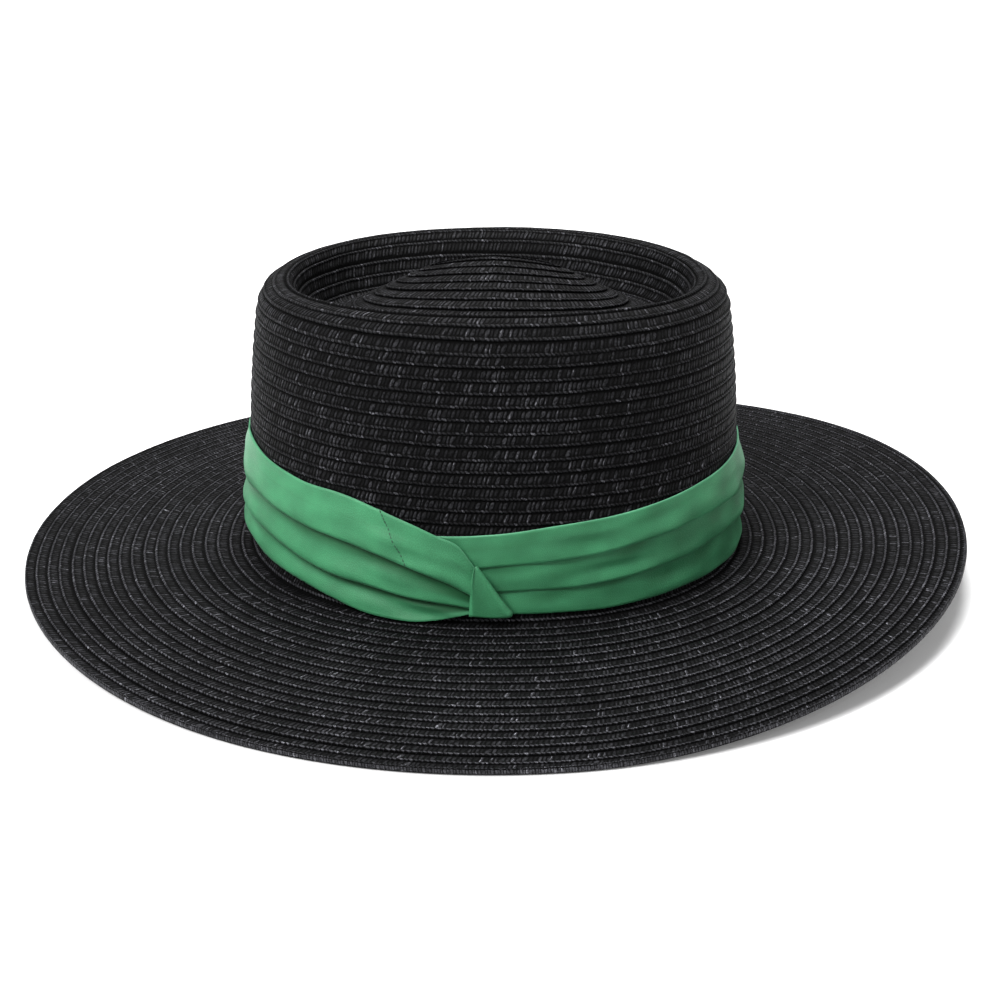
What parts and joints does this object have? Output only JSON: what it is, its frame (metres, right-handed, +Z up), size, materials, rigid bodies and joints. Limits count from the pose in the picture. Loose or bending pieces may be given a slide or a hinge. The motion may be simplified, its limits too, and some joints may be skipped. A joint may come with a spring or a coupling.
{
  "type": "straw boater hat",
  "caption": "Wide-brimmed straw hat with a sunken-top crown, sewn in spiral braid rows, and a pleated satin band caught by a small knot.",
  "frame": {"origin": "centre of the bounding box on the plane the brim rests on", "axes": "+Z up out of the crown, -X towards the front of the hat, -Y towards the side with the knot"},
  "size_m": [0.376, 0.3536, 0.1162],
  "materials": {
    "straw_braid": "satin black paper-straw braid, sewn in rows",
    "satin": "soft green satin, fine diagonal twill"
  },
  "bodies": {
    "root": {"crown": "straw_braid", "brim": "straw_braid", "band": "satin", "band_knot": "satin"}
  },
  "joints": []
}
